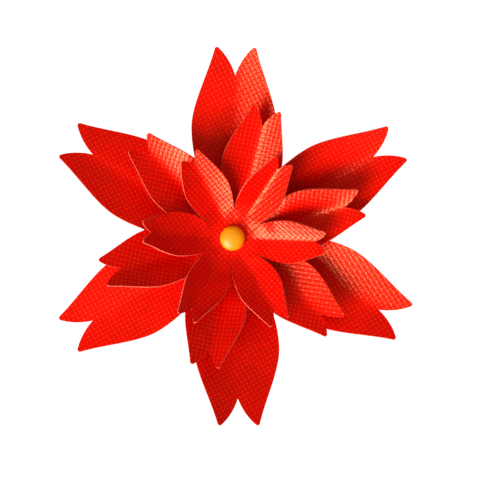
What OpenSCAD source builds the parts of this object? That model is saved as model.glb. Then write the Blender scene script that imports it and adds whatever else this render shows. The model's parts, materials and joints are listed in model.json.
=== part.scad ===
// Flower hair clip: three stacked six-lobed sheets, a domed rivet, a felt disc and a sprung flat-top clip.
// Millimetres. The rivet runs along +Z, the clip lies along X, and z = 0 is the clip's flat head-side face.

/* [Flower] */
// Flat length of an outer lobe, from the rivet to its tips
outer_len = 62; // [50:0.5:75]
// Flat length of a middle lobe
middle_len = 44.5; // [38:0.5:55]
// Flat length of an inner lobe
inner_len = 33; // [28:0.5:42]
// Thickness of each petal sheet
sheet_t = 0.5; // [0.3:0.05:1]
// Heading of the first outer lobe, degrees from +X
outer_head = 90; // [0:1:180]
// Heading of the first middle lobe
middle_head = 75; // [0:1:180]
// Heading of the first inner lobe
inner_head = 117; // [0:1:180]

/* [Rivet] */
// Radius of the domed cap
cap_r = 4; // [3:0.1:6]
// Height of the cap's dome, above its straight wall
cap_h = 2.1; // [1.5:0.1:4]
// Height of the cap's straight wall
cap_wall = 0.8; // [0.4:0.1:1.5]
// Radius of the rivet's shank
shank_r = 1.5; // [1:0.1:2]

/* [Backing] */
// Radius of the felt disc
felt_r = 16; // [13:0.5:20]
// Thickness of the felt
felt_t = 1.2; // [1:0.1:2]

/* [Clip] */
// Half length of the upper jaw
clip_half = 28.5; // [24:0.5:35]
// Half width of the upper jaw at the back
clip_half_w = 4.9; // [4.5:0.1:6]
// Thickness of the clip's steel
steel_t = 0.8; // [0.6:0.05:1]
// Radius of the hinge pin
pin_r = 1; // [0.8:0.05:1.2]
// Downward bend of the lower lever, degrees
lever_bend = 24; // [15:1:30]
// Diameter of the spring wire
wire_d = 0.8; // [0.6:0.05:0.9]

/* [Hidden] */
$fn = 96;
eps = 0.01;
fit_gap = 0.05;

// Heights of the stack, from the clip upwards
plate_top = 6;
plate_z = plate_top - steel_t;
outer_z = plate_top + felt_t;
middle_z = outer_z + sheet_t;
inner_z = middle_z + sheet_t;
cap_z = inner_z + sheet_t;

// Lobe outline, in fractions of the flat length
slit = 0.25;
slit_point = [slit * cos(30), slit * sin(30)];
wide_point = [0.58, 0.222];
tip_point = [1, 0.103];
notch_point = [0.845, 0];
flank_in = [slit_point, [0.31, 0.175], [0.44, 0.222], wide_point];
flank_out = [wide_point, [0.70, 0.222], [0.86, 0.135], tip_point];
notch_edge = [notch_point, [0.885, 0.012], [0.955, 0.045], tip_point];

// Posture of the lobes, clockwise from the first: rise, folds of the two halves, turn, all in degrees
outer_curl = 8;
outer_rise = [6, 7, 6, 18, -3, 3];
outer_fold_l = [4, 24, 10, -2, 12, 20];
outer_fold_r = [12, 18, 17, 14, 12, -11];
outer_turn = [-1, 0, 4, 2, 0.5, -1];
middle_curl = 8;
middle_rise = [14, 14, 12, 22, 16, 14.5];
middle_fold_l = [15, 30, 12, 23, 28, 18];
middle_fold_r = [22, 14, 20, 8, 1, 22];
middle_turn = [0, 0.5, 4.5, 3, 0, -0.5];
inner_curl = 6;
inner_rise = [25, 26, 26, 22, 29, 29];
inner_fold_l = [17, 36, 34, 20, 24, 26];
inner_fold_r = [18, 22, 6, 20, 30, 10];
inner_turn = [0.5, -0.5, 0.5, 2.5, 3, -1];
bend_len = 0.16;
fold_len = 0.22;
turn_len = 0.2;

// Mesh of a petal sheet
hole_r = 1.6;
cols = 2;
lobe_rows = 15;
tip_rows = 6;
walk_steps = 50;
blunt = 0.965;

// Clip layout
pin_x = -9.5;
pin_z = 3;
lower_ear_y = 3.9;
upper_ear_y = 4.1;
ear_r = 1.9;
lower_half_w = 3.9;
tip_half_w = 3.2;
lower_tip_half_w = 2.5;
dip_x = 13;
tip_flat = 2;
tip_z = steel_t + fit_gap;
lever_len = 20.6;
plate_in = pin_z - steel_t;
plate_out = pin_z;
tooth_pitch = 2.1;
tooth_h = 1.4;
tooth_half = 0.7;
tooth_flat = 0.15;
tooth_gap = 0.2;
tooth_t = 0.8;
teeth = 5;
tooth_x = 15.6;
pin_head_r = 1.5;
pin_head_t = 0.35;

// Strap of felt under the upper jaw
strap_x = 5;
strap_w = 7.8;
strap_y = 5.15;
strap_run = 2.6;

// Rivet
dome_r = (cap_r * cap_r + cap_h * cap_h) / (2 * cap_h);
dome_z = cap_z + cap_wall + cap_h - dome_r;
shell_t = 0.5;
flange_t = 0.6;
flange_gap = 0.1;
socket_r = 3.4;
socket_t = 0.3;
tube_r = 2;
tube_len = 1.5;
post_len = 1.8;
post_top = cap_z + post_len;

// Spring
coil_r = 1.6;
coil_turns = 3;
coil_pitch = 1.05;
leg_len = 10;
wire_sides = 8;
coil_step = 15;

// ---- helpers ----
function smooth(x) = let (c = max(0, min(1, x))) c * c * (3 - 2 * c);
function bez(p, t) = let (s = 1 - t)
  s * s * s * p[0] + 3 * s * s * t * p[1] + 3 * s * t * t * p[2] + t * t * t * p[3];
function flank(t) = t < 0.5 ? bez(flank_in, 2 * t) : bez(flank_out, 2 * t - 1);

// Slope of a lobe's centreline at x, and the curve it walks: [x, radius, height] per unit length
function slope(x, rise, curl) =
  rise * smooth((x - slit) / bend_len) + curl * pow(max(0, (x - slit) / (1 - slit)), 2);
function walk(rise, curl) = [
  for (i = 0, r = 0, z = 0; i <= walk_steps;
    a = slope((i + 0.5) / walk_steps, rise, curl), r = r + cos(a) / walk_steps,
    z = z + sin(a) / walk_steps, i = i + 1) [i / walk_steps, r, z]];

// A flat sheet point uv, on side s of a lobe's crease, folded and raised into place
// drop is how far below the top face the point lies
function place(uv, s, len, head, turn, rise, curl, fold, mitre, way_r, way_z, top, drop) =
  let (
    a = slope(uv[0], rise, curl),
    ph = fold * smooth((uv[0] - slit) / fold_len),
    mean = mitre * smooth((uv[0] - slit) / fold_len),
    v = uv[1] * len,
    crease = uv[1] == 0 && uv[0] <= notch_point[0],
    down = crease ? drop / cos(mean) : drop,
    tilt = crease ? 0 : ph,
    rad = lookup(uv[0], way_r) * len - v * sin(ph) * sin(a) + down * sin(a) * cos(tilt),
    lat = s * (v * cos(ph) + down * sin(tilt)),
    z = top + lookup(uv[0], way_z) * len + v * sin(ph) * cos(a) - down * cos(a) * cos(tilt),
    h = head + turn * smooth((uv[0] - slit) / turn_len)
  ) [rad * cos(h) - lat * sin(h), rad * sin(h) + lat * cos(h), z];

// Flat point of row j, column i (0 at the crease, cols at the outline)
function flat_pt(j, i, hole) =
  let (
    u = i / cols,
    lobe = j - 1,
    t = j < 1 ? 0 : blunt_t(lobe <= lobe_rows ? 0.87 * lobe / lobe_rows
      : 0.87 + 0.13 * (lobe - lobe_rows) / tip_rows),
    e = flank(t),
    first = [slit * (1 - (1 - cos(30)) * u * u), slit_point[1] * u]
  )
  j == 0 ? first * hole / slit
  : lobe == 0 ? first
  : lobe <= lobe_rows ? let (
      c = slit + (notch_point[0] - slit) * (e[0] - slit_point[0]) / (notch_edge_x - slit_point[0])
    ) [c + (e[0] - c) * u * u, e[1] * u]
  : let (n = bez(notch_edge, blunt * (lobe - lobe_rows) / tip_rows)) n + (e - n) * u;
function blunt_t(t) = t * (1 - (1 - blunt) * max(0, (t - 0.87) / 0.13));
notch_edge_x = flank(0.87)[0];

// Vertex number of lobe k, row j, column i, side s (0 right of the crease, 1 left)
ring = 12 * cols;
lobe_w = 2 * cols + 1;
shared = 2 * ring;
split = shared + lobe_rows * 6 * lobe_w;
count = split + tip_rows * 6 * (lobe_w + 1);
function at(k, j, i, s) =
  let (c = s == 1 ? cols + i : cols - i)
  j <= 1 ? j * ring + (k * 2 * cols + c) % ring
  : j <= lobe_rows + 1 ? shared + (j - 2) * 6 * lobe_w + k * lobe_w + c
  : split + (j - lobe_rows - 2) * 6 * (lobe_w + 1) + k * (lobe_w + 1) + (s == 1 ? c + 1 : c);
last_row = lobe_rows + tip_rows + 1;
function row_width(j) = j <= 1 ? 2 * cols : j <= lobe_rows + 1 ? lobe_w : lobe_w + 1;
function quad(a, b, c, d) = [[a, c, b], [a, d, c]];
function flip(q) = [for (f = q) [f[2], f[1], f[0]]];
function turned(q, s) = s == 1 ? q : flip(q);

// One sheet: top and bottom skins, and walls round the hole, the outline and the notches
module petal_sheet(len, head, z, curl, rise, fold_l, fold_r, turn) {
  ways = [for (k = [0:5]) walk(rise[k], curl)];
  ways_r = [for (w = ways) [for (p = w) [p[0], p[1]]]];
  ways_z = [for (w = ways) [for (p = w) [p[0], p[2]]]];
  skin = function (drop) [
    for (j = [0:last_row], k = [5:-1:0], n = [0:row_width(j) - 1])
      let (
        gap = j > lobe_rows + 1 && n > cols ? 1 : 0,
        c = n - gap,
        s = c > cols || gap == 1 ? 1 : -1,
        i = abs(c - cols),
        fold = s == 1 ? fold_l[k] : fold_r[k]
      )
      place(flat_pt(j, i, hole_r / len), s, len, head - 60 * k, turn[k], rise[k], curl, fold,
        (fold_l[k] + fold_r[k]) / 2, ways_r[k], ways_z[k], z + sheet_t, drop)];
  strips = [for (k = [0:5], s = [0, 1], j = [0:last_row - 1], i = [0:cols - 1])
    each turned(quad(at(k, j, i, s), at(k, j + 1, i, s), at(k, j + 1, i + 1, s), at(k, j, i + 1, s)), s)];
  hole_wall = [for (k = [0:5], s = [0, 1], i = [0:cols - 1])
    each turned(quad(at(k, 0, i, s), at(k, 0, i + 1, s), at(k, 0, i + 1, s) + count,
      at(k, 0, i, s) + count), s)];
  flank_wall = [for (k = [0:5], s = [0, 1], j = [1:last_row - 1])
    each turned(quad(at(k, j, cols, s), at(k, j + 1, cols, s), at(k, j + 1, cols, s) + count,
      at(k, j, cols, s) + count), s)];
  notch_wall = [for (k = [0:5], s = [0, 1], j = [lobe_rows + 1:last_row - 1])
    each flip(turned(quad(at(k, j, 0, s), at(k, j + 1, 0, s), at(k, j + 1, 0, s) + count,
      at(k, j, 0, s) + count), s))];
  tip_wall = [for (k = [0:5], s = [0, 1], i = [0:cols - 1])
    each flip(turned(quad(at(k, last_row, i, s), at(k, last_row, i + 1, s),
      at(k, last_row, i + 1, s) + count, at(k, last_row, i, s) + count), s))];
  under = [for (f = flip(strips)) [f[0] + count, f[1] + count, f[2] + count]];
  polyhedron(concat(skin(0), skin(sheet_t)),
    concat(strips, under, hole_wall, flank_wall, notch_wall, tip_wall));
}

// ---- flower ----
module outer_petals() {
  color([0.72, 0.02, 0.02])
    petal_sheet(outer_len, outer_head, outer_z, outer_curl, outer_rise, outer_fold_l, outer_fold_r,
      outer_turn);
}

module middle_petals() {
  color([0.76, 0.02, 0.02])
    petal_sheet(middle_len, middle_head, middle_z, middle_curl, middle_rise, middle_fold_l, middle_fold_r,
      middle_turn);
}

module inner_petals() {
  color([0.80, 0.03, 0.02])
    petal_sheet(inner_len, inner_head, inner_z, inner_curl, inner_rise, inner_fold_l, inner_fold_r,
      inner_turn);
}

// ---- rivet ----
// A dome on a straight wall, t in from the outside
module dome(t) {
  intersection() {
    translate([0, 0, dome_z]) sphere(r = dome_r - t);
    translate([0, 0, cap_z - t]) cylinder(r = cap_r - t, h = cap_wall + cap_h + 1);
  }
}

module rivet_cap() {
  color([0.95, 0.55, 0.03])
    difference() {
      dome(0);
      dome(shell_t);
    }
}

module rivet_socket() {
  color([0.75, 0.72, 0.66])
    difference() {
      union() {
        translate([0, 0, cap_z]) cylinder(r = socket_r, h = socket_t);
        translate([0, 0, cap_z + eps]) cylinder(r = tube_r, h = tube_len - eps);
      }
      translate([0, 0, cap_z - 1]) cylinder(r = shank_r + fit_gap, h = tube_len + 2);
    }
}

module rivet_post() {
  color([0.75, 0.72, 0.66]) {
    translate([0, 0, outer_z - flange_t]) cylinder(r = cap_r, h = flange_t);
    translate([0, 0, outer_z - eps]) cylinder(r = shank_r, h = post_top - outer_z + eps);
  }
}

// ---- backing ----
// A strip between two cuts is pushed down through the disc, and the upper jaw slides over it
module strap() {
  drop = plate_top - plate_z;
  translate([strap_x, 0, 0])
    rotate([90, 0, 90])
      linear_extrude(strap_w)
        polygon([
          [-strap_y - strap_run, outer_z], [-strap_y - strap_run, plate_top],
          [-strap_y - felt_t, plate_z - felt_t], [strap_y + felt_t, plate_z - felt_t],
          [strap_y + strap_run, plate_top], [strap_y + strap_run, outer_z],
          [strap_y + felt_t, outer_z - drop / 2], [strap_y, plate_z],
          [-strap_y, plate_z], [-strap_y - felt_t, outer_z - drop / 2]]);
}

module backing_disc() {
  color([0.55, 0.02, 0.03]) {
    difference() {
      translate([0, 0, plate_top]) cylinder(r = felt_r, h = felt_t);
      translate([0, 0, outer_z - flange_t - fit_gap]) cylinder(r = cap_r + flange_gap, h = felt_t);
      translate([strap_x, -strap_y - strap_run, plate_top - 1])
        cube([strap_w, 2 * (strap_y + strap_run), felt_t + 2]);
    }
    strap();
  }
}

// ---- clip ----
// Side view of a jaw turned up to stand in the XZ plane, w wide about y = 0
module side_view(w) {
  translate([0, w / 2, 0])
    rotate([90, 0, 0])
      linear_extrude(w)
        children();
}

// Plan of a jaw: straight sides, a taper and a round tip
module plan(back, front, half_w, tip_w, taper_x) {
  translate([0, 0, -20])
    linear_extrude(40) {
      polygon([[back, -half_w], [taper_x, -half_w], [front - tip_w, -tip_w], [front - tip_w, tip_w],
        [taper_x, half_w], [back, half_w]]);
      translate([front - tip_w, 0]) circle(r = tip_w);
    }
}

module upper_ear(y) {
  translate([0, y, 0])
    side_view(steel_t)
      translate([pin_x, pin_z])
        difference() {
          union() {
            circle(r = ear_r);
            polygon([[-1.5, 0.6], [-3.4, plate_z - pin_z + eps], [3.4, plate_z - pin_z + eps], [1.5, 0.6]]);
          }
          circle(r = pin_r + fit_gap / 2);
        }
}

module upper_jaw() {
  drop = plate_z - tip_z;
  color([0.78, 0.78, 0.80]) {
    intersection() {
      side_view(4 * clip_half_w)
        polygon([
          [-clip_half, plate_z], [dip_x, plate_z], [clip_half - tip_flat, plate_z - drop],
          [clip_half, plate_z - drop], [clip_half, plate_top - drop],
          [clip_half - tip_flat, plate_top - drop],
          [dip_x, plate_top], [-clip_half, plate_top]]);
      plan(-clip_half, clip_half, clip_half_w, tip_half_w, 4);
    }
    for (s = [-1, 1])
      upper_ear(s * (upper_ear_y + steel_t / 2));
  }
}

// Flat blade in front and a lever bent down behind, as one strip about the pin
module lower_profile() {
  kink = tan(lever_bend / 2);
  back = [-cos(lever_bend), -sin(lever_bend)];
  up = [-sin(lever_bend), cos(lever_bend)];
  outer_kink = [plate_out * kink, -plate_out];
  inner_kink = [plate_in * kink, -plate_in];
  outer_end = outer_kink + lever_len * back;
  translate([pin_x, pin_z])
    polygon([outer_kink, [clip_half - pin_x, -plate_out], [clip_half - pin_x, -plate_in], inner_kink,
      outer_end + steel_t * up, outer_end]);
}

module lower_ear(y) {
  translate([0, y, 0])
    side_view(steel_t)
      translate([pin_x, pin_z])
        difference() {
          union() {
            circle(r = ear_r);
            polygon([[-1.5, 0.4], [1.5, 0.4], [4.6, -plate_in - 0.2], [0.5, -plate_in - 0.4], [-2.6, -3.9]]);
          }
          circle(r = pin_r + fit_gap);
        }
}

// Underside of the dipping upper jaw at x, above the blade
function mouth(x) = plate_z - (plate_z - tip_z) * (x - dip_x) / (clip_half - tip_flat - dip_x) - steel_t;

module tooth_row(y) {
  translate([0, y, 0])
    side_view(tooth_t)
      for (i = [0:teeth - 1]) {
        x = tooth_x + i * tooth_pitch;
        h = min(tooth_h, mouth(x + tooth_half) - tooth_gap);
        translate([x, steel_t])
          polygon([[-tooth_half, -steel_t / 2], [tooth_half, -steel_t / 2],
            [tooth_flat, h], [-tooth_flat, h]]);
      }
}

module lower_jaw() {
  color([0.74, 0.74, 0.76]) {
    intersection() {
      side_view(4 * lower_half_w) lower_profile();
      plan(-clip_half - 1, clip_half, lower_half_w, lower_tip_half_w, 4);
    }
    for (s = [-1, 1]) {
      lower_ear(s * (lower_ear_y - steel_t / 2));
      tooth_row(s * (lower_tip_half_w - tooth_t / 2 - 0.1));
    }
  }
}

module hinge_pin() {
  half = upper_ear_y + steel_t;
  color([0.68, 0.68, 0.70])
    translate([pin_x, 0, pin_z])
      rotate([90, 0, 0]) {
        cylinder(r = pin_r, h = 2 * half + 2 * eps, center = true);
        for (s = [-1, 1])
          translate([0, 0, s * (half + fit_gap + pin_head_t / 2)])
            cylinder(r = pin_head_r, h = pin_head_t, center = true);
        cylinder(r = pin_r, h = 2 * (half + fit_gap) + pin_head_t, center = true);
      }
}

// Wire path about the pin: a leg under the upper lever, the coil, and a leg along the lower lever
module torsion_spring() {
  sweep_deg = 360 * coil_turns + 90 + 90 - lever_bend;
  y0 = -coil_pitch * sweep_deg / 720;
  steps = ceil(sweep_deg / coil_step);
  back = [-cos(lever_bend), 0, -sin(lever_bend)];
  spot = function (a) [coil_r * cos(90 - a), y0 + coil_pitch * a / 360, coil_r * sin(90 - a)];
  path = concat(
    [spot(0) - [leg_len, 0, 0]],
    [for (i = [0:steps]) spot(sweep_deg * i / steps)],
    [spot(sweep_deg) + leg_len * back]);
  last = len(path) - 1;
  way = [for (i = [0:last])
    let (d = path[min(i + 1, last)] - path[max(i - 1, 0)]) d / norm(d)];
  pts = [for (i = [0:last], n = [0:wire_sides - 1])
    let (
      side = cross(way[i], [0, 1, 0]),
      a = side / norm(side),
      b = cross(a, way[i]),
      w = 360 * n / wire_sides
    ) path[i] + wire_d / 2 * (a * cos(w) + b * sin(w))];
  tube = [for (i = [0:last - 1], n = [0:wire_sides - 1])
    let (m = (n + 1) % wire_sides)
    each flip(quad(i * wire_sides + n, i * wire_sides + m, (i + 1) * wire_sides + m,
      (i + 1) * wire_sides + n))];
  ends = [[for (n = [wire_sides - 1:-1:0]) n], [for (n = [0:wire_sides - 1]) last * wire_sides + n]];
  color([0.60, 0.60, 0.63])
    translate([pin_x, 0, pin_z])
      polyhedron(pts, concat(tube, ends));
}

outer_petals();
middle_petals();
inner_petals();
rivet_cap();
rivet_socket();
rivet_post();
backing_disc();
upper_jaw();
lower_jaw();
hinge_pin();
torsion_spring();
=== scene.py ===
# %% [markdown]
# # A flower hair clip
# Three red sheets, each cut into six lobes, are folded up round a yellow domed rivet and sit on a
# felt disc and a flat-top spring clip. The CAD model fixes every size and the clip's hinge. Here each
# piece gets its true surface: folded, embossed sheet, enamel, felt, plated steel and spring wire.

# %% Load the frame
import json
import math

import bpy
import numpy as np
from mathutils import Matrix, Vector


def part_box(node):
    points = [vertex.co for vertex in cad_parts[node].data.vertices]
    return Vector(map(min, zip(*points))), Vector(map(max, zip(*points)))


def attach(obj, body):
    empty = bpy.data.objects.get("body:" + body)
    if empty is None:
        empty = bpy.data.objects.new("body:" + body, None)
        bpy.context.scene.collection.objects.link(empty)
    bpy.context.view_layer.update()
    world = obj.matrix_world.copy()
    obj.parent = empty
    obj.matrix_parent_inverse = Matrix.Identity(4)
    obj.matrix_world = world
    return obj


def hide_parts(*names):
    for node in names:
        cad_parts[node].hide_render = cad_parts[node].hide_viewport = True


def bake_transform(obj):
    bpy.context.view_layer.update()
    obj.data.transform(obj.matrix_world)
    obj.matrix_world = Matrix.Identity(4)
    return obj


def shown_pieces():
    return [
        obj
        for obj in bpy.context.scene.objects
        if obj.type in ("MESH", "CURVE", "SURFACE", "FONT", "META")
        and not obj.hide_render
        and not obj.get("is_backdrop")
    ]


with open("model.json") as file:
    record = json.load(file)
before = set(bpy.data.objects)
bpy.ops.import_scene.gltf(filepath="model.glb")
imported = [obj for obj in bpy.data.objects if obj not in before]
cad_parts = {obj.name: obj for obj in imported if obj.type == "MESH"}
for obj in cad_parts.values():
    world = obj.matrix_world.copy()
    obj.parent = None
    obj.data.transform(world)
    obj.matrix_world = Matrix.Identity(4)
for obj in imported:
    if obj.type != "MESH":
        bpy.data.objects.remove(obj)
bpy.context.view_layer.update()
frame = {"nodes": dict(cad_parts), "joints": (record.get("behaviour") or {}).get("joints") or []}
MM = 0.001

# %% [markdown]
# ## Working by hand, in code
# An operator acts on everything that is selected, so each step first picks its own objects. Modifiers
# are applied as soon as they have done their work, which leaves a plain mesh in every piece made here.
# The CAD pieces keep theirs, because their own meshes must not change.


# %% Hand tools
def pick(*objs):
    """Selects these objects alone, the first of them active."""
    bpy.ops.object.select_all(action="DESELECT")
    for obj in objs:
        obj.select_set(True)
    bpy.context.view_layer.objects.active = objs[0]
    return objs[0]


def added(name):
    """The object that the last operator added, with its name."""
    obj = bpy.context.object
    obj.name = obj.data.name = name
    return pick(obj)


def modify(obj, kind, **settings):
    """Adds a modifier and applies it."""
    pick(obj)
    mod = obj.modifiers.new(kind.title(), kind)
    for key, value in settings.items():
        setattr(mod, key, value)
    bpy.ops.object.modifier_apply(modifier=mod.name)


def choose_faces(obj, test):
    """Selects the faces whose middle passes the test, and nothing else."""
    mesh = obj.data
    for group in (mesh.vertices, mesh.edges):
        group.foreach_set("select", [False] * len(group))
    mesh.polygons.foreach_set("select", [bool(test(face.center)) for face in mesh.polygons])


def edit_chosen(obj, *steps):
    """Runs edit-mode operators on the faces chosen before: each step is a function with no argument."""
    pick(obj)
    bpy.ops.object.mode_set(mode="EDIT")
    for step in steps:
        step()
    bpy.ops.object.mode_set(mode="OBJECT")


def edit(obj, *steps):
    """Runs edit-mode operators on the whole mesh."""
    edit_chosen(obj, lambda: bpy.ops.mesh.select_all(action="SELECT"), *steps)


def settle(obj):
    """Moves an object's place, turn and size into its mesh."""
    pick(obj)
    bpy.ops.object.transform_apply(location=True, rotation=True, scale=True)
    return obj


def points(obj):
    """A mesh's points as an array, one row each."""
    co = np.zeros(len(obj.data.vertices) * 3)
    obj.data.vertices.foreach_get("co", co)
    return co.reshape(-1, 3)


def move_points(obj, co):
    """Writes an array of points back to the mesh."""
    obj.data.vertices.foreach_set("co", np.asarray(co, float).ravel())
    obj.data.update()


def extent(obj):
    """A mesh's lowest and highest corner in millimetres."""
    co = points(obj) / MM
    return f"{co.min(0).round(2)} to {co.max(0).round(2)}"


def smooth(x):
    """Rises from 0 to 1 with no corner at either end."""
    x = np.clip(x, 0, 1)
    return x * x * (3 - 2 * x)


# %% [markdown]
# ## Materials as formulas
# A pattern such as a weave is a formula in the sheet's own flat coordinates. The small class below lets
# Python's own operators add the Math nodes, so that a line of code reads like the formula.


# %% Shader sums
class Value:
    """A node's output that can stand in a sum."""

    def __init__(self, board, socket):
        self.board, self.socket = board, socket

    def __add__(self, other):
        return self.board.sum("ADD", self, other)

    def __sub__(self, other):
        return self.board.sum("SUBTRACT", self, other)

    def __rsub__(self, other):
        return self.board.sum("SUBTRACT", other, self)

    def __mul__(self, other):
        return self.board.sum("MULTIPLY", self, other)

    def __pow__(self, other):
        return self.board.sum("POWER", self, other)

    __radd__, __rmul__ = __add__, __mul__


class Board:
    """The node tree of one material."""

    def __init__(self, name):
        self.material = bpy.data.materials.new(name)
        self.material.use_nodes = True
        self.tree = self.material.node_tree
        self.shader = self.tree.nodes["Principled BSDF"]

    def add(self, kind, settings, values, out=0):
        """Adds a node: its settings first, then the values or links of its sockets."""
        node = self.tree.nodes.new(kind)
        for key, value in settings.items():
            setattr(node, key, value)
        for key, value in values.items():
            self.feed(node.inputs[key], value)
        return Value(self, node.outputs[out])

    def feed(self, socket, value):
        if isinstance(value, Value):
            self.tree.links.new(value.socket, socket)
        else:
            socket.default_value = value

    def sum(self, how, *values):
        return self.add("ShaderNodeMath", {"operation": how}, dict(enumerate(values)))

    def mix(self, share, a, b):
        """Colour a turning to colour b as share goes from 0 to 1."""
        return self.add("ShaderNodeMix", {"data_type": "RGBA"}, {0: share, 6: a, 7: b}, 2)

    def noise(self, where, scale, detail=2.0):
        return self.add(
            "ShaderNodeTexNoise", {}, {"Vector": where, "Scale": scale, "Detail": detail})

    def spread(self, value, low, high):
        """Stretches low..high to 0..1 and cuts what is outside."""
        return self.add(
            "ShaderNodeMapRange", {}, {"Value": value, "From Min": low, "From Max": high})

    def bump(self, height, depth, strength=1.0):
        return self.add(
            "ShaderNodeBump", {}, {"Height": height, "Distance": depth, "Strength": strength})

    def place(self):
        """Object coordinates, in metres."""
        return self.add("ShaderNodeTexCoord", {}, {}, 3)

    def paint(self, **sockets):
        """Sets the shader's sockets: base_color=... goes to Base Color."""
        for key, value in sockets.items():
            title = key.replace("_", " ").title().replace("Ior", "IOR")
            self.feed(self.shader.inputs[title], value)
        return self.material


# %% [markdown]
# ## The embossed sheet
# The petals are cut from a coated sheet that was pressed with a plain canvas weave, about 1.4 mm from
# thread to thread. A plain weave is two sets of ridges at right angles, and at each crossing one set is
# up and the other down, by turns. The pattern is laid on the flat sheet, so it runs on through the hub
# and over every fold, and each sheet has it at its own angle. The raised spots catch the light, and their
# crowns also get a lighter orange colour in speckled spots: a painted highlight. The raised spots catch
# the light and are
# slightly rubbed.

# %% Sheet materials
PITCH = 1.4 * MM
SHEET_SPAN = 130 * MM
DEEP_RED = (0.72, 0.0003, 0.0003, 1)
WARM_RED = (0.85, 0.0006, 0.0003, 1)
# A lighter orange painted on the weave's crowns: a painted highlight of the glinting spots.
CROWN_HIGHLIGHT_RED = (0.97, 0.16, 0.004, 1)
GLOSS_RED = (1.0, 0.36, 0.19, 1)
CUT_DARK, CUT_PALE = (0.60, 0.008, 0.005, 1), (0.86, 0.17, 0.09, 1)
BACK_DARK, BACK_PALE = (0.52, 0.016, 0.012, 1), (0.70, 0.050, 0.032, 1)


def weave(board, angle):
    """Height of the pressed weave, 0 to 1, and the place on the flat sheet."""
    flat = board.add("ShaderNodeUVMap", {"uv_map": "flat"}, {})
    turned = board.add(
        "ShaderNodeVectorRotate", {"rotation_type": "Z_AXIS"},
        {"Vector": flat, "Center": (0.5, 0.5, 0), "Angle": math.radians(angle)})
    parts = board.add("ShaderNodeSeparateXYZ", {}, {"Vector": turned})
    threads = SHEET_SPAN / PITCH
    x = parts * threads
    y = Value(board, parts.socket.node.outputs[1]) * threads

    def ridge(across, along, sign):
        row = board.sum("FLOOR", across)
        round_top = board.sum("SINE", across * math.pi) ** 2
        turn = board.sum("COSINE", (along + row - 0.5) * math.pi)
        return round_top * (turn * (0.5 * sign) + 0.5)

    return board.sum("MAXIMUM", ridge(x, y, 1), ridge(y, x, -1)), flat


def sheet_material(name, angle, press):
    """The coated face: its weave at an angle, pressed in by so many metres."""
    board = Board(name)
    height, flat = weave(board, angle)
    clouds = board.spread(board.noise(flat, scale=9.0, detail=3.0), low=0.35, high=0.65)
    grain = board.noise(flat, scale=420.0)
    red = board.mix(clouds, DEEP_RED, WARM_RED)
    crowns = board.spread(height, low=0.72, high=1.0)
    # Painted highlight: the weave's crowns take the lighter orange in speckled spots, where they would
    # glint.
    painted_crown_highlight = crowns * board.spread(grain, low=0.3, high=0.65) * 0.7
    surface = height * 0.85 + grain * 0.25
    return board.paint(
        base_color=board.mix(painted_crown_highlight, red, CROWN_HIGHLIGHT_RED),
        roughness=0.33 - height * 0.04,
        specular_ior_level=0.8,
        specular_tint=GLOSS_RED,
        normal=board.bump(surface, depth=press, strength=0.9))


def cut_edge_material():
    """The sheet's torn-looking core, where the coating ends."""
    board = Board("cut_edge")
    fibres = board.noise(board.place(), scale=2500.0)
    return board.paint(
        base_color=board.mix(board.spread(fibres, low=0.3, high=0.6), CUT_DARK, CUT_PALE),
        roughness=0.8,
        normal=board.bump(fibres, depth=0.05 * MM))


def sheet_back_material():
    """The uncoated back, plain and fibrous."""
    board = Board("sheet_back")
    fibres = board.noise(board.place(), scale=1600.0, detail=4.0)
    return board.paint(
        base_color=board.mix(fibres, BACK_DARK, BACK_PALE),
        roughness=0.85,
        normal=board.bump(fibres, depth=0.08 * MM))


# %% [markdown]
# ## The petal sheets
# Each sheet is one piece: a hub with a hole for the rivet and six lobes, parted by narrow slits. A lobe
# swells to its middle, and ends in two points with a notch between them. It is folded along its middle
# like an open book and lifted. Such a sheet bends but hardly stretches, so the way from flat to folded
# must keep lengths. Sculpting would lose that. So each half lobe starts as a flat grid whose rows run
# from the middle fold to the outline, and a formula walks every point along the lifted middle line and
# out along the fold.

# %% Outline of a lobe, in shares of its flat length
SLIT = 0.25
SLIT_POINT = (SLIT * math.cos(math.pi / 6), SLIT * math.sin(math.pi / 6))
WIDE_POINT = (0.58, 0.222)
TIP_POINT = (1.0, 0.103)
NOTCH_POINT = (0.845, 0.0)
FLANK_IN = (SLIT_POINT, (0.31, 0.175), (0.44, 0.222), WIDE_POINT)
FLANK_OUT = (WIDE_POINT, (0.70, 0.222), (0.86, 0.135), TIP_POINT)
NOTCH_EDGE = (NOTCH_POINT, (0.885, 0.012), (0.955, 0.045), TIP_POINT)
NOTCH_T = 0.87
TIP_HALF_ANGLE = math.radians(32.5)
HOLE_R = 1.6 * MM
SHEET_T = 0.5 * MM
HUB_ROWS, LOBE_ROWS, TIP_ROWS, ROUND_ROWS, ACROSS = 6, 34, 12, 4, 12
ROWS = HUB_ROWS + LOBE_ROWS + TIP_ROWS + ROUND_ROWS
COLUMN_POWER = 1.15


def curve(four, t):
    """Points along a cubic curve with four handles."""
    a, b, c, d = (np.array(p) for p in four)
    t = np.asarray(t)[..., None]
    s = 1 - t
    return s**3 * a + 3 * s**2 * t * b + 3 * s * t**2 * c + t**3 * d


def flank(t):
    """Points along the outline from the slit to the tip."""
    early = np.asarray(t)[..., None] < 0.5
    return np.where(early, curve(FLANK_IN, 2 * t), curve(FLANK_OUT, 2 * t - 1))


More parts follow.
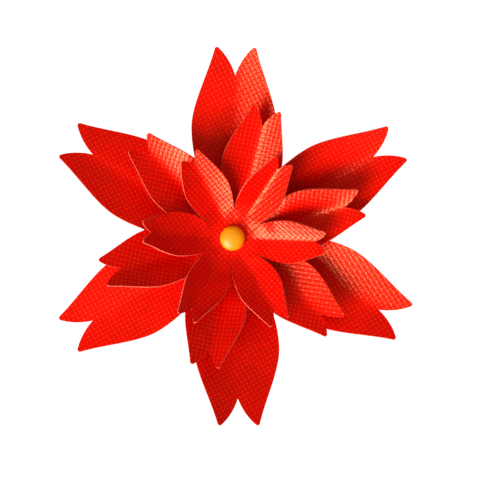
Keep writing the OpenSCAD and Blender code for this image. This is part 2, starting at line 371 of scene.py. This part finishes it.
def flat_row(row, u, hole, tips):
    """One row of half a lobe, u from 0 at the middle fold to 1 at the outline.

    hole is the rivet hole's radius, and tips says where the notch edge and the flank round off.
    """
    arc = np.stack([SLIT * (1 - (1 - math.cos(math.pi / 6)) * u**2), SLIT_POINT[1] * u], -1)
    if row <= HUB_ROWS:
        return arc * (hole + (SLIT - hole) * row / HUB_ROWS) / SLIT
    row -= HUB_ROWS
    if row <= LOBE_ROWS:
        edge = flank(np.float64(NOTCH_T * row / LOBE_ROWS))
        reach = (edge[0] - SLIT_POINT[0]) / (flank(np.float64(NOTCH_T))[0] - SLIT_POINT[0])
        fold = SLIT + (NOTCH_POINT[0] - SLIT) * reach
        return np.stack([fold + (edge[0] - fold) * u**2, edge[1] * u], -1)
    row -= LOBE_ROWS
    share = min(row / TIP_ROWS, 1)
    inner = curve(NOTCH_EDGE, np.float64(tips[0] * share))
    outer = flank(np.float64(NOTCH_T + (tips[1] - NOTCH_T) * share))
    if row <= TIP_ROWS:
        return inner + (outer - inner) * u[:, None]
    turn = TIP_HALF_ANGLE + (math.pi / 2 - TIP_HALF_ANGLE) * (row - TIP_ROWS) / ROUND_ROWS
    middle = (inner + outer) / 2
    half = (outer - inner) / 2 / math.cos(TIP_HALF_ANGLE)
    ahead = np.array([half[1], -half[0]]) * (math.sin(turn) - math.sin(TIP_HALF_ANGLE))
    return middle + half * math.cos(turn) * (2 * u[:, None] - 1) + ahead


# %% [markdown]
# The posture of each lobe is given: how far it rises, how far each half folds up, and a small turn.
# The lower sheets lie flatter, and the upper ones stand up more. A few tips are creased across.

# %% Postures, clockwise from each sheet's first lobe, in degrees
# Runs are shares of a lobe's length over which a bend or a fold comes in.
BEND, FOLD_RUN, TURN_RUN, CREASE_RUN = 0.16, 0.22, 0.2, 0.02
HUB_FLAT, HUB_RUN = 0.13, 0.14
LEAN_FROM, LEAN_RUN = SLIT * 0.86, 0.1
FOLD_AT_MIDDLE, FOLD_GAIN = 0.92, 0.22
WAVE_TURN, WAVE_MM = 7.5, (0.15, 0.4)
WALK_STEPS, FOLD_STEPS = 400, 16
SHEETS = {
    "outer_petals": dict(
        length=62 * MM, head=90, weave=62, press=0.085 * MM, tips=(0.912, 0.978),
        curl=8, dish=1, pleat=4, soft=1.5 * MM,
        rise=(6, 7, 6, 18, -3, 3), turn=(-1, 0, 4, 2, 0.5, -1),
        left=(4, 24, 10, -2, 12, 20), right=(12, 18, 17, 14, 12, -11),
        creases={}),
    "middle_petals": dict(
        length=44.5 * MM, head=75, weave=14, press=0.085 * MM, tips=(0.880, 0.968),
        curl=8, dish=6, pleat=8, soft=0.8 * MM,
        rise=(14, 14, 12, 22, 16, 14.5), turn=(0, 0.5, 4.5, 3, 0, -0.5),
        left=(15, 30, 12, 23, 28, 18), right=(22, 14, 20, 8, 1, 22),
        creases={}),
    "inner_petals": dict(
        length=33 * MM, head=117, weave=50, press=0.09 * MM, tips=(0.865, 0.964),
        curl=6, dish=14, pleat=18, soft=0.5 * MM,
        rise=(25, 26, 26, 22, 29, 29), turn=(0.5, -0.5, 0.5, 2.5, 3, -1),
        left=(17, 36, 34, 20, 24, 26), right=(18, 22, 6, 20, 30, 10),
        creases={(0, 1): (0.86, 24), (2, -1): (0.88, 18), (5, 1): (0.80, 14), (5, -1): (0.80, 14)}),
}


def walk(sheet, k, crease):
    """The lifted middle line of lobe k: flat distance, radius, height, and the slope as a function."""
    def slope(x):
        dish = sheet["dish"] * smooth((x - HUB_FLAT) / HUB_RUN)
        lift = dish + (sheet["rise"][k] - sheet["dish"]) * smooth((x - SLIT) / BEND)
        lift = lift + sheet["curl"] * np.clip((x - SLIT) / (1 - SLIT), 0, 1) ** 2
        if crease:
            at, bend = crease
            lift = lift + bend * smooth((x - at) / CREASE_RUN)
        return np.radians(lift)

    middle = slope((np.arange(WALK_STEPS) + 0.5) / WALK_STEPS)
    flat = np.linspace(0, 1, WALK_STEPS + 1)
    radius = np.concatenate([[0], np.cumsum(np.cos(middle))]) / WALK_STEPS
    height = np.concatenate([[0], np.cumsum(np.sin(middle))]) / WALK_STEPS
    return flat, radius, height, slope


def turned(x, y, angle):
    """The x and y of points after a turn about the middle."""
    return x * np.cos(angle) - y * np.sin(angle), x * np.sin(angle) + y * np.cos(angle)


def fold_up(flat, side, sheet, k, top, wave):
    """Carries flat points of half a lobe into place: side is 1 left of the fold and -1 right of it."""
    length = sheet["length"]
    u, v = flat[:, 0], np.abs(flat[:, 1]) * length
    way, radius, height, slope = walk(sheet, k, sheet["creases"].get((k, side)))
    tilt = slope(u)
    leans = smooth((u - LEAN_FROM) / LEAN_RUN)
    folds = smooth((u - SLIT) / FOLD_RUN)
    full = math.radians(sheet["left" if side > 0 else "right"][k])
    pleat = math.radians(sheet["pleat"])
    fold = pleat * smooth((u - HUB_FLAT) / HUB_RUN) + (full - pleat) * folds
    wide = WIDE_POINT[1] * length
    out = np.zeros_like(v)
    up = np.zeros_like(v)
    for n in range(FOLD_STEPS):
        s = v * (n + 0.5) / FOLD_STEPS
        angle = fold * (1 - np.exp(-s / sheet["soft"])) * (FOLD_AT_MIDDLE + FOLD_GAIN * s / wide)
        out += (1 - (1 - np.cos(angle)) * leans) * v / FOLD_STEPS
        up += np.sin(angle) * v / FOLD_STEPS
    up += wave(u) * (v / wide) ** 2 * folds
    along = np.interp(u, way, radius) * length - up * np.sin(tilt) * leans
    z = top + np.interp(u, way, height) * length + up * np.cos(tilt)
    head = np.radians(sheet["head"] - 60 * k + sheet["turn"][k] * smooth((u - SLIT) / TURN_RUN))
    return np.stack([*turned(along, side * out, head), z], -1)


# %% [markdown]
# Twelve half lobes make a sheet. They share the folds and the hub, so merging their edges joins them, and
# the joined surface gets its thickness last. A flat UV map keeps each point's place on the uncut sheet.

# %% Build one sheet from twelve half lobes
def half_lobe(name, sheet, k, side, top, wave):
    bpy.ops.mesh.primitive_grid_add(x_subdivisions=ACROSS, y_subdivisions=ROWS, size=2)
    half = added(f"{name}_{k}_{side}")
    grid = points(half)
    column = np.rint((grid[:, 0] + 1) / 2 * ACROSS).astype(int)
    row = np.rint((grid[:, 1] + 1) / 2 * ROWS).astype(int)
    columns = (np.arange(ACROSS + 1) / ACROSS) ** COLUMN_POWER
    hole = HOLE_R / sheet["length"]
    table = np.array([flat_row(r, columns, hole, sheet["tips"]) for r in range(ROWS + 1)])
    flat = table[row, column]
    move_points(half, fold_up(flat, side, sheet, k, top, wave))
    head = math.radians(sheet["head"] - 60 * k)
    x, y = flat[:, 0] * sheet["length"], flat[:, 1] * side * sheet["length"]
    spots = np.stack(turned(x, y, head), -1)
    corners = np.zeros(len(half.data.loops), int)
    half.data.loops.foreach_get("vertex_index", corners)
    layer = half.data.uv_layers[0]
    layer.name = "flat"
    layer.data.foreach_set("uv", (spots[corners] / SHEET_SPAN + 0.5).ravel())
    if side > 0:
        edit(half, bpy.ops.mesh.flip_normals)
    return half


def petal_sheet(name, seed):
    """Folds, joins and thickens one sheet; its lobes' small waves are drawn from the seed."""
    sheet = SHEETS[name]
    chance = np.random.default_rng(seed)
    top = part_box(name)[0].z + SHEET_T
    halves = []
    for k in range(6):
        for side in (1, -1):
            phase, reach = chance.uniform(0, 2 * math.pi), chance.uniform(*WAVE_MM) * MM

            def wave(u, phase=phase, reach=reach):
                return reach * np.sin(WAVE_TURN * u + phase)

            halves.append(half_lobe(name, sheet, k, side, top, wave))
    pick(*halves)
    bpy.ops.object.join()
    whole = added(name + "_folded")
    edit(whole, lambda: bpy.ops.mesh.remove_doubles(threshold=0.002 * MM))
    coated = sheet_material(name + "_weave", sheet["weave"], sheet["press"])
    for material in (coated, cut_edge, sheet_back):
        whole.data.materials.append(material)
    modify(whole, "SOLIDIFY", thickness=SHEET_T, offset=-1, use_even_offset=False,
           use_quality_normals=True, material_offset=2, material_offset_rim=1)
    bpy.ops.object.shade_smooth_by_angle(angle=math.radians(50))
    area = sum(f.area for f in whole.data.polygons if f.material_index == 0)
    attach(whole, "flower")
    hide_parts(name)
    print(name, "from", extent(whole), "area cm2", round(area * 1e4, 1))


cut_edge = cut_edge_material()
sheet_back = sheet_back_material()
for seed, name in enumerate(SHEETS):
    petal_sheet(name, seed)

# %% [markdown]
# ## The rivet's cap
# A stamped cap with glossy yellow enamel: a low dome on a short straight wall, its rim rolled under. Half
# a sphere is squashed to the dome's height, its open edge is extruded down for the wall and in for the
# roll, and the shell gets its thickness. A spun profile would do as well, but a sphere closes at the pole.

# %% Cap
cap_low, cap_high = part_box("rivet_cap")
CAP_R = cap_high.x
DOME_H = 2.1 * MM
WALL_H = cap_high.z - cap_low.z - DOME_H
ROLL_H, ROLL_SHARE = 0.12 * MM, 0.965
ENAMEL_DEEP, ENAMEL_PALE = (0.93, 0.33, 0.0004, 1), (0.98, 0.40, 0.0004, 1)


def enamel_material():
    board = Board("yellow_enamel")
    place = board.place()
    specks = board.noise(place, scale=2600.0)
    clouds = board.spread(board.noise(place, scale=240.0), low=0.3, high=0.7)
    return board.paint(
        base_color=board.mix(clouds, ENAMEL_DEEP, ENAMEL_PALE),
        roughness=0.42 + specks * 0.08,
        specular_ior_level=0.4,
        coat_weight=0.15,
        coat_roughness=0.3,
        normal=board.bump(specks, depth=0.004 * MM, strength=0.4))


def rim_ring():
    """Selects the open edge alone."""
    bpy.ops.mesh.select_all(action="DESELECT")
    bpy.ops.mesh.select_non_manifold()


def rim_down(distance):
    """Extrudes the chosen edge straight down."""
    bpy.ops.mesh.extrude_region_move(TRANSFORM_OT_translate={"value": (0, 0, -distance)})


def cap():
    bpy.ops.mesh.primitive_uv_sphere_add(segments=96, ring_count=48, radius=CAP_R)
    dome = added("rivet_cap_enamelled")
    edit(dome, lambda: bpy.ops.mesh.bisect(
        plane_co=(0, 0, 0), plane_no=(0, 0, 1), clear_inner=True, use_fill=False))
    dome.scale.z = DOME_H / CAP_R
    dome.location.z = cap_high.z - DOME_H
    settle(dome)
    edit(dome, rim_ring, lambda: rim_down(WALL_H - ROLL_H))
    edit(dome, rim_ring, lambda: rim_down(ROLL_H),
         lambda: bpy.ops.transform.resize(value=(ROLL_SHARE, ROLL_SHARE, 1)))
    modify(dome, "SOLIDIFY", thickness=0.5 * MM, offset=-1, use_even_offset=False)
    modify(dome, "BEVEL", width=0.1 * MM, segments=3,
           limit_method="ANGLE", angle_limit=math.radians(50))
    dome.data.materials.append(enamel_material())
    bpy.ops.object.shade_smooth_by_angle(angle=math.radians(40))
    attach(dome, "flower")
    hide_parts("rivet_cap")
    print("cap from", extent(dome))


cap()

# %% [markdown]
# ## Felt backing
# A disc of felt hides the rivet's flange and keeps the clip from marking the hair. A strip between two
# cuts passes under the clip's upper jaw. The disc is one grid of soft sheet, parted along the cuts, and
# the strip is pushed down as the jaw pushes it, before the felt gets its thickness.

# %% Felt material
felt_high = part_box("backing_disc")[1]
FELT_R = felt_high.x
FELT_T = 1.2 * MM
FELT_DEEP, FELT_PALE, FELT_TUFT = (0.16, 0.003, 0.006, 1), (0.38, 0.012, 0.018, 1), (0.30, 0.007, 0.012, 1)


def felt_material():
    board = Board("red_felt")
    place = board.place()
    fibres = board.noise(place, scale=1400.0, detail=6.0)
    tufts = board.spread(board.noise(place, scale=380.0, detail=3.0), low=0.3, high=0.7)
    colour = board.mix(fibres, FELT_DEEP, FELT_PALE)
    return board.paint(
        base_color=board.mix(tufts * 0.5, colour, FELT_TUFT),
        roughness=0.95,
        sheen_weight=0.4,
        normal=board.bump(fibres + tufts * 0.7, depth=0.25 * MM))


# %% [markdown]
# The grid's columns are closest together at the disc's two ends, and two of them lie on the cuts. Its rows
# bend so that one pair of them ends each cut. The strap is a second grid, joined only at its ends, so
# that the cuts are real openings. A shallow pocket in the top takes the rivet's flange.

# %% Cut, part and lay the felt
STRAP_LEFT, STRAP_RIGHT, STRAP_REACH = 5.0 * MM, 12.8 * MM, 7.75 * MM
STRAP_RUN, STRAP_TOP = 2.7 * MM, 5.2 * MM
LEFT_COLUMNS, STRAP_COLUMNS, RIGHT_COLUMNS = 30, 12, 12
DISC_ROWS, STRAP_ROWS = 48, 36
CUT_CHORD = 0.81
CUT_ROWS = 0.75
END_SHARE = 0.9995
FUZZ, FUZZ_WAVES, RIM_FROM = 0.004, 37, 0.99
POCKET_R, POCKET_DEPTH, TOP_BAND = 4.1 * MM, 0.65 * MM, 0.1 * MM


def strap_height(y):
    """Height of the strap's upper face: flat under the jaw, and rising to the disc beside it."""
    rise = smooth((np.abs(y) - STRAP_REACH + STRAP_RUN) / STRAP_RUN)
    return STRAP_TOP + (felt_high.z - STRAP_TOP) * rise


def felt_grid(name, xs, rows):
    """A grid with its columns at xs, and rows spread from -1 to 1."""
    bpy.ops.mesh.primitive_grid_add(x_subdivisions=len(xs) - 1, y_subdivisions=rows, size=2)
    piece = added(name)
    co = points(piece)
    column = np.rint((co[:, 0] + 1) / 2 * (len(xs) - 1)).astype(int)
    return piece, xs[column], co[:, 1]


def felt_disc():
    """The flat disc with its strap pushed down, as one surface."""
    left = np.linspace(-math.pi / 2, math.asin(STRAP_LEFT / FELT_R), LEFT_COLUMNS)
    right = np.linspace(math.asin(STRAP_RIGHT / FELT_R), math.pi / 2, RIGHT_COLUMNS)
    strap = np.linspace(STRAP_LEFT, STRAP_RIGHT, STRAP_COLUMNS)
    xs = np.concatenate([FELT_R * np.sin(left), strap[1:-1], FELT_R * np.sin(right)])
    xs[0], xs[-1] = -FELT_R * END_SHARE, FELT_R * END_SHARE
    disc, x, v = felt_grid("felt_disc", xs, DISC_ROWS)
    chord = np.sqrt(FELT_R**2 - x**2)
    reach = np.minimum(STRAP_REACH, CUT_CHORD * chord)
    share = np.abs(v)
    beyond = reach + (share - CUT_ROWS) / (1 - CUT_ROWS) * (chord - reach)
    y = np.where(share <= CUT_ROWS, share / CUT_ROWS * reach, beyond) * np.sign(v)
    fuzz = 1 + FUZZ * np.sin(FUZZ_WAVES * np.arctan2(y, x)) * (share > RIM_FROM)
    move_points(disc, np.stack([x * fuzz, y * fuzz, np.full_like(x, felt_high.z)], -1))
    choose_faces(disc, lambda middle: STRAP_LEFT < middle.x < STRAP_RIGHT and abs(middle.y) < STRAP_REACH)
    edit_chosen(disc, lambda: bpy.ops.mesh.delete(type="FACE"))
    band, x, v = felt_grid("felt_strap", strap, STRAP_ROWS)
    y = v * STRAP_REACH
    move_points(band, np.stack([x, y, strap_height(y)], -1))
    pick(disc, band)
    bpy.ops.object.join()
    felt = added("felt_backing")
    edit(felt, lambda: bpy.ops.mesh.remove_doubles(threshold=0.01 * MM))
    return felt


def felt_backing():
    """Thickens the felt and sinks the pocket for the rivet's flange."""
    felt = felt_disc()
    area = sum(face.area for face in felt.data.polygons)
    modify(felt, "SOLIDIFY", thickness=FELT_T, offset=-1, use_even_offset=False)
    co = points(felt)
    inside = (np.hypot(co[:, 0], co[:, 1]) < POCKET_R) & (co[:, 2] > felt_high.z - TOP_BAND)
    co[inside, 2] = felt_high.z - POCKET_DEPTH
    move_points(felt, co)
    modify(felt, "BEVEL", width=0.2 * MM, segments=2,
           limit_method="ANGLE", angle_limit=math.radians(60))
    felt.data.materials.append(felt_material())
    bpy.ops.object.shade_smooth_by_angle(angle=math.radians(50))
    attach(felt, "flower")
    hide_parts("backing_disc")
    print("felt from", extent(felt), "area cm2", round(area * 1e4, 2))


felt_backing()

# %% [markdown]
# ## Steel
# The clip's two jaws, the pin and the rivet's post keep their CAD shapes. Stamped sheet has no sharp
# corners, so their loose triangles are welded and the edges get a small round, and each gets its plating.

# %% Steel
DULL = 0.8


def steel_material(name, colour, rough):
    """Plated steel with fine lines along x and duller clouds."""
    board = Board(name)
    place = board.place()
    stretched = board.add(
        "ShaderNodeMapping", {}, {"Vector": place, "Scale": (60.0, 1400.0, 900.0)})
    lines = board.noise(stretched, scale=1.0, detail=3.0)
    stains = board.spread(board.noise(place, scale=160.0, detail=3.0), low=0.4, high=0.7)
    dull = tuple(c * DULL for c in colour[:3]) + (1,)
    return board.paint(
        base_color=board.mix(stains * 0.6, colour, dull),
        metallic=1.0,
        roughness=lines * 0.14 + stains * 0.10 + rough,
        normal=board.bump(lines, depth=0.006 * MM))


nickel = steel_material("nickel_plate", (0.76, 0.75, 0.72, 1), rough=0.16)
rivet_steel = steel_material("rivet_steel", (0.66, 0.62, 0.54, 1), rough=0.28)
wire_steel = steel_material("spring_wire", (0.50, 0.50, 0.53, 1), rough=0.26)


def plated(node, material, width):
    """Gives a CAD piece its plating and rounds its edges by so many metres."""
    obj = frame["nodes"][node]
    obj.data.materials.clear()
    obj.data.materials.append(material)
    weld = obj.modifiers.new("Weld", "WELD")
    weld.merge_threshold = 0.004 * MM
    bevel = obj.modifiers.new("Bevel", "BEVEL")
    bevel.width = width
    bevel.segments = 2
    bevel.limit_method = "ANGLE"
    bevel.angle_limit = math.radians(40)
    print(node, "plated with", material.name)


plated("upper_jaw", nickel, width=0.12 * MM)
plated("lower_jaw", nickel, width=0.12 * MM)
plated("hinge_pin", nickel, width=0.08 * MM)
plated("rivet_post", rivet_steel, width=0.08 * MM)
plated("rivet_socket", rivet_steel, width=0.05 * MM)

# %% [markdown]
# ## The spring
# A torsion spring of round wire sits round the pin: three turns, one leg under the upper lever and one
# along the lower. Wire is a curve by nature, so its path is a curve with a round section, made a mesh at
# the end.

# %% Spring
pin_low, pin_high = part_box("hinge_pin")
PIN = Vector(((pin_low.x + pin_high.x) / 2, 0, (pin_low.z + pin_high.z) / 2))
WIRE_R, COIL_R, COIL_PITCH, LEG = 0.4 * MM, 1.6 * MM, 1.05 * MM, 10 * MM
LEVER_BEND = 24
SWEEP = 360 * 3 + 180 - LEVER_BEND
COIL_POINTS, LEG_POINTS = 156, 10


def spring_path():
    """Points of the wire's middle line: a leg, the coil, a leg."""
    turn = np.radians(np.linspace(0, SWEEP, COIL_POINTS))
    side = COIL_PITCH * (turn - turn[-1] / 2) / (2 * math.pi)
    coil = np.stack([COIL_R * np.sin(turn), side, COIL_R * np.cos(turn)], -1)
    bend = math.radians(LEVER_BEND)
    down = np.array([-math.cos(bend), 0, -math.sin(bend)])
    runs = np.linspace(1, 0.1, LEG_POINTS)[:, None] * LEG
    first = coil[0] - runs * np.array([1, 0, 0])
    last = coil[-1] + runs[::-1] * down
    return np.concatenate([first, coil, last]) + np.array(PIN)


def spring():
    """Draws the wire along its path."""
    path = spring_path()
    bpy.ops.curve.primitive_bezier_curve_add()
    wire = added("torsion_spring_wire")
    wire.data.splines.clear()
    line = wire.data.splines.new("POLY")
    line.points.add(len(path) - 1)
    for spot, where in zip(line.points, path):
        spot.co = (*where, 1)
    wire.data.dimensions = "3D"
    wire.data.bevel_depth = WIRE_R
    wire.data.bevel_resolution = 3
    wire.data.use_fill_caps = True
    pick(wire)
    bpy.ops.object.convert(target="MESH")
    wire = added("torsion_spring_wire")
    wire.data.materials.append(wire_steel)
    bpy.ops.object.shade_smooth_by_angle(angle=math.radians(50))
    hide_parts("torsion_spring")
    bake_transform(wire)
    print("spring from", extent(wire))


spring()

# %% [markdown]
# ## Stage, light and camera
# One large soft lamp from the lower left gives the sheets their lit and shaded halves. Two more near it
# are seen only in reflections, and give the coating its soft gloss. A ceiling lamp and a pale world fill
# the shadows. The floor is plain and pale, has a light of its own, and lies low enough for the jaw to
# open fully above it.

# %% Floor
FLOOR_SIZE, FLOOR_GAP = 6, 2 * MM
FLOOR_GREY, FLOOR_PALE = (0.93, 0.93, 0.93, 1), (0.96, 0.96, 0.96, 1)
jaw_opens = math.radians(frame["joints"][0]["range_deg"][1])
jaw_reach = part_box("lower_jaw")[1].x - PIN.x
FLOOR_Z = PIN.z - jaw_reach * math.sin(jaw_opens) - FLOOR_GAP


def floor_material():
    board = Board("pale_floor")
    return board.paint(
        base_color=board.mix(board.noise(board.place(), scale=3.0), FLOOR_GREY, FLOOR_PALE),
        roughness=0.9)


bpy.ops.mesh.primitive_plane_add(size=FLOOR_SIZE, location=(0, 0, FLOOR_Z))
floor = settle(added("floor"))
floor.data.materials.append(floor_material())
floor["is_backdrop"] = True
print("floor below the pin, mm", round((PIN.z - FLOOR_Z) / MM, 1))

# %% [markdown]
# The floor and the object have lamps of their own, so that the floor can be almost white while the
# object keeps its contrast. Each set of things is a collection that a lamp is linked to.

# %% Lamps and world
WARM = (1.0, 0.97, 0.93)
AIM_H = 12 * MM

object_set = bpy.data.collections.new("lit_object")
floor_set = bpy.data.collections.new("lit_floor")
for group in (object_set, floor_set):
    bpy.context.scene.collection.children.link(group)
floor_set.objects.link(floor)


def softbox(name, azimuth, elevation, distance, size, power, lights, colour=(1, 1, 1), shadow=True,
            glossy=True, diffuse=True):
    """A square lamp that looks at the flower from azimuth and elevation; metres, degrees and watts."""
    az, el = math.radians(azimuth), math.radians(elevation)
    way = Vector((math.cos(el) * math.cos(az), math.cos(el) * math.sin(az), math.sin(el)))
    bpy.ops.object.light_add(type="AREA", location=way * distance + Vector((0, 0, AIM_H)))
    lamp = bpy.context.object
    lamp.name = name
    lamp.rotation_euler = way.to_track_quat("Z", "Y").to_euler()
    lamp.data.size = size
    lamp.data.energy = power
    lamp.data.color = colour
    lamp.data.use_shadow = shadow
    lamp.visible_glossy = glossy
    lamp.visible_diffuse = diffuse
    lamp.light_linking.receiver_collection = lights


softbox("key", azimuth=226, elevation=35, distance=2.0, size=1.1, power=49.0,
        lights=object_set, colour=WARM)
softbox("low_sheen", azimuth=240, elevation=20, distance=2.0, size=0.9, power=46.0,
        lights=object_set, colour=WARM, diffuse=False)
softbox("high_sheen", azimuth=220, elevation=52, distance=2.0, size=0.7, power=14.0,
        lights=object_set, colour=WARM, diffuse=False)
softbox("ceiling", azimuth=0, elevation=90, distance=1.0, size=3.0, power=10.0,
        lights=object_set, glossy=False)
softbox("floor_wash", azimuth=0, elevation=90, distance=2.2, size=4.0, power=92.0,
        lights=floor_set, shadow=False)
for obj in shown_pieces():
    object_set.objects.link(obj)

world = bpy.data.worlds.new("pale_room")
world.use_nodes = True
background = world.node_tree.nodes["Background"].inputs
background["Color"].default_value = (1.0, 0.98, 0.96, 1)
background["Strength"].default_value = 0.12
bpy.context.scene.world = world
bpy.context.scene.view_settings.view_transform = "Standard"
bpy.context.scene.view_settings.look = "Medium High Contrast"

# %% [markdown]
# The camera looks straight down from half a metre, a little aside of the rivet, so that the whole flower
# sits in the middle of the picture. A long lens keeps the raised petals from looking larger.

# %% Camera
CAMERA_AT = (2.43 * MM, -0.54 * MM, 520 * MM)
SENSOR_MM, LENS_MM = 36, 119.5
bpy.ops.object.camera_add(location=CAMERA_AT, rotation=(0, 0, 0))
camera = bpy.context.object
camera.data.sensor_width = SENSOR_MM
camera.data.lens = LENS_MM
camera.data.clip_start = 0.01
bpy.context.scene.camera = camera
